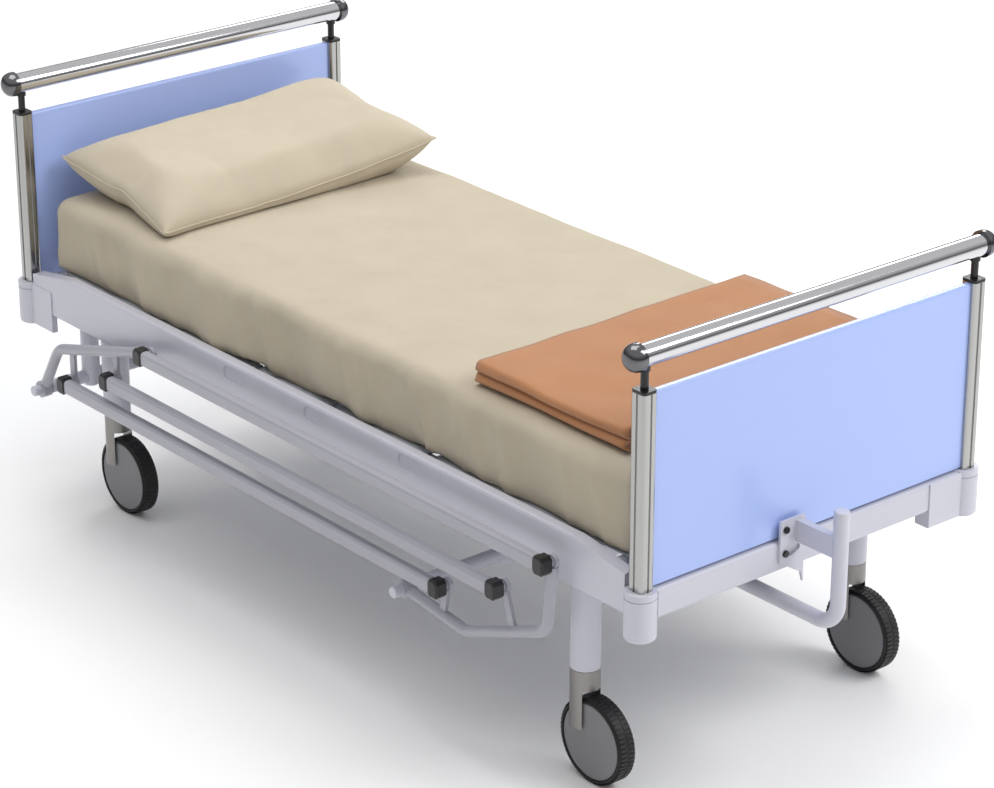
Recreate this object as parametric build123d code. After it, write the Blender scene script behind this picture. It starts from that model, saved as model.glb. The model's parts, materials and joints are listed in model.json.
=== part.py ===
from build123d import *
import math
import os

# Adjustable hospital bed. +Z is up, +Y points to the head end, -X is the left side.
# The origin is on the floor, below the middle of the overall length. Sizes along Y are
# written from the middle between the corner posts, and SHIFT_Y moves them to the origin.
# All sizes are in millimetres.

# ---- driving dimensions -------------------------------------------------------------
SHIFT_Y = 60.0
POST_X = 450.0            # corner post axis, from the bed's middle
POST_Y = 1076.0
SOCKET_R = 33.0
SOCKET_BOTTOM = 424.0
CHEEK_T = 3.0
CHEEK_LENGTH = 108.0
SOCKET_TOP = 528.0
POST_W = 36.0
POST_D = 40.0
POST_TOP = 940.0
CAP_T = 6.0
STEM_R = 8.0
TOP_RAIL_Z = 1014.0
TOP_RAIL_R = 23.0
TOP_RAIL_END = 465.0
DOME_R = 28.5
DOME_LENGTH = 32.0
DOME_ROUND = 24.0
PANEL_T = 18.0
PANEL_BOTTOM = 532.0
PANEL_TOP = 938.0

BEAM_OUTER = 465.0        # outer face of a side beam
BEAM_W = 30.0
BEAM_BOTTOM = 467.0
BEAM_TOP = 580.0
BEAM_WALL = 2.5
BEAM_PLUG = 190.0
TAPER_LENGTH = 160.0      # how far from its ends the side beam's top slopes down
TAPER_DROP = 27.0
BEAM_CORNER = 7.0
END_BEAM_BOTTOM = 462.0
END_BEAM_TOP = 526.0
END_BEAM_W = 36.0
RECESS_Y = (231.0, -63.0, -387.0)
CROSS_W = 40.0
CROSS_TOP = 525.0
CROSS_H = 40.0

HINGE_Z = 540.0           # axis height of the platform hinges
BACK_Y = 231.0            # backrest hinge
THIGH_Y = -63.0           # thigh hinge
KNEE_Y = -387.0           # hinge between thigh and calf sections
GLIDE_Y = -985.0          # glide shoes at the foot end of the calf section
SHOE_R = 15.0
BACK_ANGLE = 70.0
THIGH_ANGLE = 35.0
SHEET_BOTTOM = 558.0
SHEET_T = 4.0
SHEET_X = 415.0
RIB_W = 22.0
RIB_BOTTOM = 530.0
TUBE_R = 14.0
PIN_R = 8.0
RUN_FIT = 0.05            # radial clearance of a running pin

MATTRESS_X = 428.0
MATTRESS_BOTTOM = 562.5
MATTRESS_TOP = 745.0
MATTRESS_HEAD = 1020.0
MATTRESS_FOOT = -1022.0

LEG_X = 380.0
LEG_Y = 840.0
LEG_R = 32.0
LEG_BOTTOM = 245.0
WHEEL_R = 94.0
WHEEL_W = 42.0
DISC_R = 82.0
TRAIL = 40.0
FORK_R = 31.5
FORK_GAP = 25.0
AXLE_R = 6.0
HUB_END = 12.0            # depth of the axle's bore past the wheel's middle
STEM_PIN_R = 10.0

GUARD_PIVOT_Z = 290.0     # side guard arms turn about these cross shafts
GUARD_FOOT_Y = -406.0
GUARD_HEAD_Y = 976.0
GUARD_ARM_X = 494.0
GUARD_BAR_X = 521.0
ARM_TUBE_R = 12.5
BAR_PINS = ((463.0, 235.0), (317.0, 127.0), (135.0, 60.0))
SHAFT_R = 16.0
STUB_R = 10.0
SHAFT_END = 512.0         # end of the head cross shaft's stubs
KNOB_SHAFT_END = 524.0    # end of the foot cross shaft's stubs, inside the release knobs
HANGER_X = 362.0          # head hangers
FOOT_HANGER_X = 225.0
HANGER_R = 22.0
HANGER_TOP = 520.0
FOOT_TUBE_Y = -350.0      # cross tube that carries the foot hangers
KNOB_R = 12.5

ACTUATOR_Z = 412.0
BACK_LEVER_R = 150.0
THIGH_LEVER_R = 120.0
ACTUATOR_X = 60.0
HOLDER_X = -50.0
HOLDER_Y = -1215.0
HOLDER_Z = 370.0
HOLDER_TOP = 625.0
HOLDER_R = 16.0
BRACKET_T = 6.0


# ---- small helpers --------------------------------------------------------------------
def span(x0, x1, y0, y1, z0, z1):
    """A box between two corners."""
    centre = ((x0 + x1) / 2, (y0 + y1) / 2, (z0 + z1) / 2)
    return Pos(*centre) * Box(x1 - x0, y1 - y0, z1 - z0)


def rod_x(x0, x1, y, z, radius):
    """A round bar along X."""
    return Pos((x0 + x1) / 2, y, z) * Rot(0, 90, 0) * Cylinder(radius, x1 - x0)


def rod_y(y0, y1, x, z, radius):
    """A round bar along Y."""
    return Pos(x, (y0 + y1) / 2, z) * Rot(90, 0, 0) * Cylinder(radius, y1 - y0)


def rod_z(z0, z1, x, y, radius):
    """A round bar along Z."""
    return Pos(x, y, (z0 + z1) / 2) * Cylinder(radius, z1 - z0)


def rounded(box, radius, axis):
    """The box with its four edges along one axis rounded."""
    return fillet(box.edges().filter_by(axis), radius)


def hollow_beam(x0, x1, y0, y1, z0, z1, axis, plug=BEAM_WALL):
    """A rounded rectangular tube along one axis, closed by a plug of that length at each end."""
    wall = BEAM_WALL
    lengthwise = axis.direction.Y > 0.5
    gap_x = wall if lengthwise else plug
    gap_y = plug if lengthwise else wall
    outer = rounded(span(x0, x1, y0, y1, z0, z1), BEAM_CORNER, axis)
    inner = span(x0 + gap_x, x1 - gap_x, y0 + gap_y, y1 - gap_y, z0 + wall, z1 - wall)
    return outer - rounded(inner, BEAM_CORNER - wall, axis)


def bent_tube(points, bend, radius):
    """A solid round bar along straight runs joined by arcs."""
    path = FilletPolyline(*points, radius=bend)
    section = Plane(origin=path @ 0, z_dir=path % 0) * Circle(radius)
    return sweep(section, path=path)


def mirrored(shape):
    """The same shape on the other side of the bed."""
    return mirror(shape, about=Plane.YZ)


def both_sides(shape):
    return [shape, mirrored(shape)]


parts = {}


def keep(name, *shapes):
    """Store the solids of one node."""
    solids = []
    for shape in shapes:
        solids.extend((Pos(0, SHIFT_Y, 0) * shape).solids())
    parts[name] = solids[0] if len(solids) == 1 else Compound(children=solids)


# ---- fixed frame ----------------------------------------------------------------------
def side_beam():
    """Right-hand side beam with three shallow oval recesses in its outer face."""
    inner = BEAM_OUTER - BEAM_W
    end = POST_Y - SOCKET_R + 3.0
    beam = hollow_beam(inner, BEAM_OUTER, -end, end, BEAM_BOTTOM, BEAM_TOP, Axis.Y, BEAM_PLUG)
    start_y, stop_y = end - TAPER_LENGTH, end + 20.0
    slope = TAPER_DROP / TAPER_LENGTH
    wedge = Polyline((start_y - 20, BEAM_TOP + 20 * slope), (stop_y, BEAM_TOP - (stop_y - start_y) * slope),
                     (stop_y, BEAM_TOP + 30), (start_y - 20, BEAM_TOP + 30), close=True)
    cutter = extrude(Plane((inner - 5, 0, 0), x_dir=(0, 1, 0), z_dir=(1, 0, 0)) * make_face(wedge),
                     BEAM_W + 10)
    beam -= cutter
    beam -= mirror(cutter, about=Plane.XZ)
    for y in RECESS_Y:
        oval = SlotOverall(84.0, 32.0)
        cutter = Plane((BEAM_OUTER, y, BEAM_TOP - 26.0), x_dir=(0, 1, 0), z_dir=(1, 0, 0)) * oval
        beam -= extrude(cutter, 2.0, both=True)
    for end_y in (-POST_Y, POST_Y):
        beam -= rod_z(BEAM_BOTTOM - 1, BEAM_TOP + 1, POST_X, end_y, SOCKET_R)
    return beam


def end_beam(y):
    end = POST_X - SOCKET_R + 3.0
    half = END_BEAM_W / 2
    beam = hollow_beam(-end, end, y - half, y + half, END_BEAM_BOTTOM, END_BEAM_TOP, Axis.X, 20.0)
    for x in (-POST_X, POST_X):
        beam -= rod_z(END_BEAM_BOTTOM - 1, END_BEAM_TOP + 1, x, y, SOCKET_R)
    return beam


def socket(x, y):
    """Round post socket with a collar, a rounded foot and a pocket for the post."""
    body = rod_z(SOCKET_BOTTOM, SOCKET_TOP, x, y, SOCKET_R)
    body = fillet(body.edges().sort_by(Axis.Z)[0], 7.0)
    body = fillet(body.edges().sort_by(Axis.Z)[-1], 2.0)
    groove_z = SOCKET_TOP - 16.0
    groove = rod_z(groove_z, groove_z + 3.0, x, y, SOCKET_R + 1) - rod_z(
        groove_z, groove_z + 3.0, x, y, SOCKET_R - 1.5)
    return body - groove - post_bar(x, y, SOCKET_TOP - 60.0, SOCKET_TOP + 1)


def head_sleeve():
    """Cheek of a head corner, below and outside the side beam's end."""
    cheek = span(POST_X + 3.0, BEAM_OUTER + CHEEK_T, POST_Y - CHEEK_LENGTH, POST_Y,
                 SOCKET_BOTTOM + 2, SOCKET_TOP)
    cheek = rounded(cheek, 3.0, Axis.Y)
    cheek -= span(0, BEAM_OUTER, 0, POST_Y + 50, BEAM_BOTTOM, SOCKET_TOP + 1)
    return cheek - rod_z(SOCKET_BOTTOM, SOCKET_TOP + 1, POST_X, POST_Y, SOCKET_R)


def foot_sleeve():
    """Cheek of the right foot corner, below and outside the foot beam's end."""
    face = -POST_Y - END_BEAM_W / 2
    cheek = span(POST_X - CHEEK_LENGTH - 10, POST_X, face - CHEEK_T, face + END_BEAM_W,
                 SOCKET_BOTTOM + 2, END_BEAM_TOP)
    cheek = rounded(cheek, 3.0, Axis.X)
    cheek -= span(0, POST_X + 50, face, face + 60, END_BEAM_BOTTOM, END_BEAM_TOP + 1)
    return cheek - rod_z(SOCKET_BOTTOM, END_BEAM_TOP + 1, POST_X, -POST_Y, SOCKET_R)


def post_bar(x, y, z0, z1):
    return rounded(span(x - POST_W / 2, x + POST_W / 2, y - POST_D / 2, y + POST_D / 2, z0, z1),
                   9.0, Axis.Z)


def post(x, y):
    """Aluminium post with a groove down its four faces."""
    body = post_bar(x, y, SOCKET_TOP - 60.0, POST_TOP)
    for side in (-1, 1):
        body -= span(x - 3, x + 3, y + side * POST_D / 2 - 2.5, y + side * POST_D / 2 + 2.5,
                     SOCKET_TOP, POST_TOP + 1)
    outer = x + math.copysign(POST_W / 2, x)
    return body - span(outer - 2.5, outer + 2.5, y - 3, y + 3, SOCKET_TOP, POST_TOP + 1)


def cap_with_stem(x, y):
    """Flat cap of a post with the round stem that carries the top rail."""
    cap = post_bar(x, y, POST_TOP, POST_TOP + CAP_T)
    cap = fillet(cap.edges().group_by(Axis.Z)[-1], 1.5)
    cap += rod_z(POST_TOP + CAP_T, TOP_RAIL_Z, x, y, STEM_R)
    cap += rod_z(TOP_RAIL_Z - TOP_RAIL_R - 8, TOP_RAIL_Z, x, y, STEM_R + 3)
    cap -= rod_x(x - 30, x + 30, y, TOP_RAIL_Z, TOP_RAIL_R)
    return cap.solids().sort_by(Axis.Z)[0]


def corners():
    return [(x, y) for x in (-POST_X, POST_X) for y in (-POST_Y, POST_Y)]


def make_ends():
    keep("corner_sockets", *[socket(x, y) for x, y in corners()],
         *both_sides(head_sleeve()), foot_sleeve())
    keep("end_posts", *[post(x, y) for x, y in corners()])
    keep("post_caps", *[cap_with_stem(x, y) for x, y in corners()])
    domes = []
    for x, y in corners():
        dome = rod_x(TOP_RAIL_END, TOP_RAIL_END + DOME_LENGTH, y, TOP_RAIL_Z, DOME_R)
        dome = fillet(dome.edges().group_by(Axis.X)[-1], DOME_ROUND)
        domes.append(dome if x > 0 else mirrored(dome))
    keep("top_rail_caps", *domes)
    inner = POST_X - POST_W / 2
    panels = []
    rails = []
    for y in (POST_Y, -POST_Y):
        panel = span(-inner, inner, y - PANEL_T / 2, y + PANEL_T / 2, PANEL_BOTTOM, PANEL_TOP)
        panels.append(fillet(panel.edges().group_by(Axis.Z)[-1].filter_by(Axis.X), 5.0))
        rail = rod_x(-TOP_RAIL_END, TOP_RAIL_END, y, TOP_RAIL_Z, TOP_RAIL_R)
        bore = rod_x(-TOP_RAIL_END + 3, TOP_RAIL_END - 3, y, TOP_RAIL_Z, TOP_RAIL_R - 2.5)
        rails.append(rail - bore)
    keep("end_panels", *panels)
    keep("top_rails", *rails)


def make_frame():
    keep("side_beams", *both_sides(side_beam()))
    keep("end_beams", end_beam(POST_Y), end_beam(-POST_Y))
    inner = BEAM_OUTER - BEAM_W
    low = CROSS_TOP - CROSS_H
    cross = []
    for y in (140.0, 0.0, FOOT_TUBE_Y, 450.0):
        cross.append(hollow_beam(-inner, inner, y - CROSS_W / 2, y + CROSS_W / 2,
                                 low, CROSS_TOP, Axis.X))
    for y in (-LEG_Y, LEG_Y):
        cross.append(hollow_beam(-inner, inner, y - LEG_R, y + LEG_R, low, CROSS_TOP, Axis.X))
    keep("cross_tubes", *cross)
    legs = []
    for x in (-LEG_X, LEG_X):
        for y in (-LEG_Y, LEG_Y):
            leg = rod_z(LEG_BOTTOM, low, x, y, LEG_R)
            leg = fillet(leg.edges().sort_by(Axis.Z)[0], 2.0)
            leg -= rod_z(LEG_BOTTOM + 45, low - 3, x, y, LEG_R - 3)
            legs.append(leg - rod_z(LEG_BOTTOM - 1, LEG_BOTTOM + 40, x, y, STEM_PIN_R + RUN_FIT))
    keep("leg_columns", *legs)


def make_guard_supports():
    """Cross shafts under the bed and the hangers that carry them."""
    inner = BEAM_OUTER - BEAM_W
    shafts = []
    hangers = []
    for y in (GUARD_FOOT_Y, GUARD_HEAD_Y):
        stub = SHAFT_END if y == GUARD_HEAD_Y else KNOB_SHAFT_END
        shaft = rod_x(-478, 478, y, GUARD_PIVOT_Z, SHAFT_R)
        shafts.append(shaft + rod_x(-stub, stub, y, GUARD_PIVOT_Z, STUB_R))
        x = HANGER_X if y == GUARD_HEAD_Y else FOOT_HANGER_X
        hanger = rod_z(GUARD_PIVOT_Z - 24, HANGER_TOP, x, y, HANGER_R)
        hanger = fillet(hanger.edges().sort_by(Axis.Z)[0], 10.0)
        if y == GUARD_HEAD_Y:
            hanger += span(x, inner, y - 18, y + 18, BEAM_BOTTOM + 6, HANGER_TOP)
        else:
            hanger += span(x - 18, x + 18, y, FOOT_TUBE_Y - CROSS_W / 2,
                           CROSS_TOP - CROSS_H + 4, HANGER_TOP)
        hanger -= rod_x(x - 40, x + 40, y, GUARD_PIVOT_Z, SHAFT_R)
        hangers.extend(both_sides(hanger))
    cap = rod_x(SHAFT_END, SHAFT_END + 14, GUARD_HEAD_Y, GUARD_PIVOT_Z, KNOB_R)
    cap = fillet(cap.edges().sort_by(Axis.X)[-1], 3.0)
    keep("guard_cross_shafts", *shafts, *both_sides(cap))
    keep("guard_hangers", *hangers)


# ---- mattress platform ----------------------------------------------------------------
def slotted_sheet(y0, y1, rows):
    """Pressed platform sheet with rows of ventilation slots."""
    sheet = span(-SHEET_X, SHEET_X, y0, y1, SHEET_BOTTOM, SHEET_BOTTOM + SHEET_T)
    sheet = rounded(sheet, 12.0, Axis.Z)
    slot = extrude(SlotOverall(90.0, 14.0), SHEET_T * 3)
    pitch = (y1 - y0) / (rows + 1)
    for row in range(rows):
        for column in (-270, -90, 90, 270):
            sheet -= Pos(column, y0 + pitch * (row + 1), SHEET_BOTTOM - SHEET_T) * slot
    return sheet


def ribs(y0, y1):
    """Four lengthwise ribs below a sheet."""
    return [span(x - RIB_W / 2, x + RIB_W / 2, y0, y1, RIB_BOTTOM, SHEET_BOTTOM)
            for x in (-398.0, -180.0, 180.0, 398.0)]


def torque_tube(y):
    """Round tube on a hinge axis, with a stub pin at each end."""
    return rod_x(-412, 412, y, HINGE_Z, TUBE_R) + rod_x(-430, 430, y, HINGE_Z, PIN_R)


def lever(x, y, arm, lean):
    """Two cheek plates down from a hinge axis, joined by a push pin. lean is in degrees."""
    end_y = y + arm * math.sin(math.radians(lean))
    end_z = HINGE_Z - arm * math.cos(math.radians(lean))
    cheek = None
    for side in (-17.0, 17.0):
        outline = make_hull([*(Pos(y, HINGE_Z) * Circle(15)).edges(),
                             *(Pos(end_y, end_z) * Circle(13)).edges()])
        plate = extrude(Plane((x + side - 3, 0, 0), x_dir=(0, 1, 0), z_dir=(1, 0, 0)) * outline, 6.0)
        cheek = plate if cheek is None else cheek + plate
    return cheek + rod_x(x - 17, x + 17, end_y, end_z, 6.0)


def yoke(x, y, z0, z1, toward, length):
    """Slotted head of a push rod, around a lever's pin. toward is the rod's side, length its reach."""
    head = rounded(span(x - 9, x + 9, y - 16, y + 16, z0 - 16, z1 + 16), 6.0, Axis.X)
    slot = span(x - 20, x + 20, y - 6.15 - 3.0, y + 6.15 + 3.0, z0 - 6.3, z1 + 6.3)
    head -= rounded(slot, 6.0, Axis.X)
    start, stop = sorted((y + toward * 15.5, y + toward * length))
    return head + rod_y(start, stop, x, ACTUATOR_Z, 9.0)


def actuator(x, y_front, y_rear):
    """Push actuator: outer tube with the rod's bore, gear housing and motor."""
    run = math.copysign(1.0, y_rear - y_front)
    a, b = sorted((y_front, y_rear))
    tube = rod_y(a, b, x, ACTUATOR_Z, 19.0)
    g0, g1 = sorted((y_rear, y_rear - run * 95))
    box = rounded(span(x - 30, x + 30, g0, g1, ACTUATOR_Z - 28, ACTUATOR_Z + 28), 8.0, Axis.Y)
    motor = rounded(span(x - 26, x + 26, g0 + 5, g1 - 5, ACTUATOR_Z - 92, ACTUATOR_Z - 20),
                    10.0, Axis.Z)
    bore0, bore1 = sorted((y_front - run, y_front + run * 290))
    return tube + box + motor - rod_y(bore0, bore1, x, ACTUATOR_Z, 9.0 + RUN_FIT)


def anchor(x, y_rear, cross_y):
    """Bracket from a cross tube down to the rear face of an actuator."""
    a, b = sorted((y_rear, cross_y + math.copysign(CROSS_W / 2, cross_y - y_rear)))
    low = CROSS_TOP - CROSS_H
    hang = span(x - 22, x + 22, a, b, low - 8, low)
    face0, face1 = sorted((y_rear, y_rear + math.copysign(8.0, cross_y - y_rear)))
    return hang + span(x - 22, x + 22, face0, face1, ACTUATOR_Z - 20, low)


def cushion(y_foot, y_head, cut_foot, cut_head):
    """One mattress section; its ends lean away from the hinges by the cut angles."""
    def reach(angle, z):
        return (z - HINGE_Z) * math.tan(math.radians(angle))
    low, high = MATTRESS_BOTTOM, MATTRESS_TOP
    outline = Polyline((y_foot + reach(cut_foot, low), low), (y_head - reach(cut_head, low), low),
                       (y_head - reach(cut_head, high), high),
                       (y_foot + reach(cut_foot, high), high), close=True)
    face = Plane((-MATTRESS_X, 0, 0), x_dir=(0, 1, 0), z_dir=(1, 0, 0)) * make_face(outline)
    block = extrude(face, 2 * MATTRESS_X)
    return fillet(block.edges().filter_by(Axis.Y), 22.0)


def make_platform():
    back_lean = -BACK_ANGLE / 2
    thigh_lean = THIGH_ANGLE / 2
    back_half = BACK_ANGLE / 2 + 0.3
    thigh_half = THIGH_ANGLE / 2 + 0.3

    back = torque_tube(BACK_Y)
    for rib in ribs(BACK_Y, 978.0):
        back += rib
    back += span(-398, 398, 950.0, 978.0, RIB_BOTTOM, SHEET_BOTTOM)
    back += lever(ACTUATOR_X, BACK_Y, BACK_LEVER_R, back_lean)
    keep("backrest_platform", back, slotted_sheet(BACK_Y + 16, 985.0, 9))
    keep("mattress_backrest", cushion(BACK_Y, MATTRESS_HEAD, back_half, 0.0))

    seat = [span(x - RIB_W / 2, x + RIB_W / 2, -32.0, 200.0, CROSS_TOP, SHEET_BOTTOM)
            for x in (-398.0, -180.0, 180.0, 398.0)]
    keep("seat_platform", *seat, slotted_sheet(THIGH_Y + 18, BACK_Y - 16, 3))
    keep("mattress_seat", cushion(THIGH_Y, BACK_Y, thigh_half, back_half))

    knee = KNEE_Y
    thigh = torque_tube(THIGH_Y)
    for rib in ribs(knee + 24, THIGH_Y):
        thigh += rib
    for x in (-398.0, 398.0):
        thigh += span(x - 6, x + 6, knee - 12, knee + 30, RIB_BOTTOM, HINGE_Z + 12)
    thigh += rod_x(-398, 398, knee, HINGE_Z, PIN_R)
    thigh += lever(-ACTUATOR_X, THIGH_Y, THIGH_LEVER_R, thigh_lean)
    keep("thigh_platform", thigh, slotted_sheet(knee + 18, THIGH_Y - 18, 4))
    keep("mattress_thigh", cushion(knee, THIGH_Y, 0.0, thigh_half))

    calf_ribs = []
    for x in (-340.0, -120.0, 120.0, 340.0):
        rib = span(x - RIB_W / 2, x + RIB_W / 2, -992.0, knee + 6, RIB_BOTTOM, SHEET_BOTTOM)
        rib += rod_x(x - RIB_W / 2, x + RIB_W / 2, knee, HINGE_Z, 16.0)
        calf_ribs.append(rib - rod_x(-420, 420, knee, HINGE_Z, PIN_R + RUN_FIT))
    tie = span(-340, 340, -1012.0, -988.0, RIB_BOTTOM, SHEET_BOTTOM)
    calf = tie
    for rib in calf_ribs:
        calf += rib
    calf += rod_x(-412, 412, GLIDE_Y, HINGE_Z, 7.0)
    shoe = rod_x(408, 428, GLIDE_Y, HINGE_Z, SHOE_R) - rod_x(400, 412, GLIDE_Y, HINGE_Z, 7.0)
    keep("calf_platform", calf, slotted_sheet(-1014.0, knee - 20, 7), *both_sides(shoe))
    keep("mattress_calf", cushion(MATTRESS_FOOT, knee - 2, 0.0, 0.0))

    brackets = []
    inner = BEAM_OUTER - BEAM_W
    for y in (BACK_Y, THIGH_Y):
        plate = span(inner - 20, inner, y - 26, y + 26, HINGE_Z - 34, HINGE_Z + 16)
        plate -= rod_x(inner - 30, inner - 4, y, HINGE_Z, PIN_R + RUN_FIT)
        brackets.extend(both_sides(plate))
    glide_low = HINGE_Z - SHOE_R - 0.3
    ledge = span(inner - 30, inner, GLIDE_Y - 25, -LEG_Y - LEG_R, glide_low - 8, glide_low)
    keep("platform_brackets", *brackets, *both_sides(ledge))

    pin_back_y = BACK_Y + BACK_LEVER_R * math.sin(math.radians(back_lean))
    back_low = HINGE_Z - BACK_LEVER_R
    back_high = HINGE_Z - BACK_LEVER_R * math.cos(math.radians(back_lean))
    keep("backrest_push_rod", yoke(ACTUATOR_X, pin_back_y, back_low, back_high, -1, 262))
    keep("backrest_actuator", actuator(ACTUATOR_X, pin_back_y - 40, -330.0),
         anchor(ACTUATOR_X, -330.0, -350.0))
    pin_thigh_y = THIGH_Y + THIGH_LEVER_R * math.sin(math.radians(thigh_lean))
    thigh_low = HINGE_Z - THIGH_LEVER_R
    thigh_high = HINGE_Z - THIGH_LEVER_R * math.cos(math.radians(thigh_lean))
    keep("thigh_push_rod", yoke(-ACTUATOR_X, pin_thigh_y, thigh_low, thigh_high, 1, 200))
    keep("thigh_actuator", actuator(-ACTUATOR_X, pin_thigh_y + 40, 430.0),
         anchor(-ACTUATOR_X, 430.0, 450.0))


def make_bedding():
    pillow = span(-385, 390, 560, 1000, MATTRESS_TOP + 0.5, MATTRESS_TOP + 128)
    pillow = fillet(pillow.edges(), 52.0)
    keep("pillow", pillow)
    blanket = rounded(span(-400, 375, -985, -520, MATTRESS_TOP + 0.5, MATTRESS_TOP + 42), 15.0, Axis.Z)
    keep("blanket", blanket)


# ---- folding side guards --------------------------------------------------------------
def guard_point(pivot_y, pin):
    """Where a point of an arm lies, from its distances toward the foot and up."""
    return pivot_y - pin[0], GUARD_PIVOT_Z + pin[1]


def arm_boss(pivot_y):
    """Ring around the cross shaft's stub end."""
    return rod_x(482.5, 505.5, pivot_y, GUARD_PIVOT_Z, 20.0)


def guard_arm(pivot_y, route, bend, feet):
    """Bent tube arm with a flat foot and a pin for each bar. route runs from the boss."""
    points = [(GUARD_ARM_X, *guard_point(pivot_y, spot)) for spot in route]
    arm = bent_tube(points, bend, ARM_TUBE_R) + arm_boss(pivot_y)
    for pin, foot in zip(BAR_PINS, feet):
        y, z = guard_point(pivot_y, pin)
        arm += rod_x(GUARD_ARM_X - 5, GUARD_ARM_X + 5, y, z, 15.0)
        arm += rod_x(GUARD_ARM_X + 5, GUARD_BAR_X - 12.5, y, z, 11.0)
        arm += rod_x(GUARD_ARM_X, GUARD_BAR_X + 9, y, z, 5.0)
        if foot:
            foot_y, foot_z = guard_point(pivot_y, foot)
            length = math.hypot(foot_y - y, foot_z - z)
            angle = math.degrees(math.atan2(foot_z - z, foot_y - y))
            strut = Pos(GUARD_ARM_X, (y + foot_y) / 2, (z + foot_z) / 2)
            arm += strut * Rot(angle, 0, 0) * Box(8, length, 18)
    return arm - rod_x(470, 530, pivot_y, GUARD_PIVOT_Z, STUB_R + RUN_FIT)


def guard_bar(pin):
    """Hollow guard bar between its two end joints."""
    y_foot, z = guard_point(GUARD_FOOT_Y, pin)
    y_head, z = guard_point(GUARD_HEAD_Y, pin)
    half_w, half_h = 12.0, 17.0
    x0, x1 = GUARD_BAR_X - half_w, GUARD_BAR_X + half_w
    outer = rounded(span(x0, x1, y_foot + 16, y_head - 16, z - half_h, z + half_h), 8.0, Axis.Y)
    inner = span(x0 + 2, x1 - 2, y_foot + 16, y_head - 16, z - half_h + 2, z + half_h - 2)
    return outer - rounded(inner, 6.0, Axis.Y)


def bar_joints(pin):
    """Moulded end joints of a bar, bored for the arm pins."""
    joints = []
    for pivot_y, toward in ((GUARD_FOOT_Y, 1), (GUARD_HEAD_Y, -1)):
        y, z = guard_point(pivot_y, pin)
        joint = span(GUARD_BAR_X - 12.2, GUARD_BAR_X + 15, y - 16, y + 16, z - 20, z + 20)
        joint = chamfer(joint.edges().filter_by(Axis.X), 7.0)
        tip = (joint.faces().sort_by(Axis.X)[-1]).edges()
        joint = chamfer(tip, 4.0)
        plug0, plug1 = sorted((y + toward * 15, y + toward * 40))
        joint += rounded(span(GUARD_BAR_X - 9.5, GUARD_BAR_X + 9.5, plug0, plug1, z - 14.5, z + 14.5),
                         5.0, Axis.Y)
        joints.append(joint - rod_x(500, GUARD_BAR_X + 9.5, y, z, 5.0 + RUN_FIT))
    return joints


def make_guards():
    foot_route = [(15.0, -2.0), (197.0, -23.0), (449.0, 75.0), (463.0, 225.0)]
    foot_feet = (None, (345.0, 38.0), (122.0, -8.0))
    head_route = [(8.0, 14.0), (74.0, 124.0), (455.0, 233.0)]
    head_feet = (None, (317.0, 190.0), (135.0, 138.0))
    foot_arm = guard_arm(GUARD_FOOT_Y, foot_route, 42.0, foot_feet)
    head_arm = guard_arm(GUARD_HEAD_Y, head_route, 60.0, head_feet)
    knob = rod_x(506.5, KNOB_SHAFT_END + 8, GUARD_FOOT_Y, GUARD_PIVOT_Z, KNOB_R)
    knob = fillet(knob.edges().sort_by(Axis.X)[-1], 3.0)
    knob -= rod_x(500, KNOB_SHAFT_END + 0.3, GUARD_FOOT_Y, GUARD_PIVOT_Z, STUB_R + RUN_FIT)
    for side, place in (("right", lambda shape: shape), ("left", mirrored)):
        keep("guard_foot_arm_" + side, place(foot_arm))
        keep("guard_head_arm_" + side, place(head_arm))
        keep("release_knob_" + side, place(knob))
        for name, pin in zip(("top", "middle", "low"), BAR_PINS):
            keep("guard_%s_bar_%s" % (name, side), place(guard_bar(pin)))
            keep("guard_%s_joints_%s" % (name, side), *[place(end) for end in bar_joints(pin)])


# ---- casters --------------------------------------------------------------------------
def caster_fork(x, y):
    """Steel tube slotted for the wheel, with a swivel stem. Its cheek on the left side ends
    above the axle, and a link on the right side carries the axle."""
    axle_y, axle_z = y - TRAIL, WHEEL_R
    tube = rod_z(axle_z + 20, LEG_BOTTOM - 0.3, x, y, FORK_R)
    fork = tube - span(x - FORK_GAP, x + FORK_GAP, y - 60, y + 60, 0, 2 * WHEEL_R + 12)
    outline = make_hull([*(Pos(y - 8, axle_z + 34) * Circle(22)).edges(),
                         *(Pos(axle_y, axle_z) * Circle(15)).edges()])
    inside = Plane((x + FORK_GAP, 0, 0), x_dir=(0, 1, 0), z_dir=(1, 0, 0))
    fork += extrude(inside * outline, 6.0)
    fork += rod_z(LEG_BOTTOM - 20, LEG_BOTTOM + 38, x, y, STEM_PIN_R)
    return fork + rod_x(x - HUB_END + 2, x + FORK_GAP + 5, axle_y, axle_z, AXLE_R)


def caster_disc(x, y):
    """Wheel centre: smooth and closed on the left side, with a hub on the right side."""
    axle_y = y - TRAIL
    disc = rod_x(x - WHEEL_W / 2 + 1, x + WHEEL_W / 2 - 1, axle_y, WHEEL_R, DISC_R)
    disc = fillet(disc.edges(), 2.5)
    disc += rod_x(x, x + FORK_GAP - 1, axle_y, WHEEL_R, 14.0)
    return disc - rod_x(x - HUB_END, x + 40, axle_y, WHEEL_R, AXLE_R + RUN_FIT)


def caster_tyre(x, y):
    """Rubber tyre with rounded shoulders and two tread grooves."""
    axle_y = y - TRAIL
    ring = rod_x(x - WHEEL_W / 2, x + WHEEL_W / 2, axle_y, WHEEL_R, WHEEL_R)
    ring = fillet(ring.edges(), 9.0)
    ring -= rod_x(x - 40, x + 40, axle_y, WHEEL_R, DISC_R)
    for offset in (-7.0, 7.0):
        groove = rod_x(x + offset - 1.2, x + offset + 1.2, axle_y, WHEEL_R, WHEEL_R + 1)
        ring -= groove - rod_x(x - 40, x + 40, axle_y, WHEEL_R, WHEEL_R - 2.5)
    return ring


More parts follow.
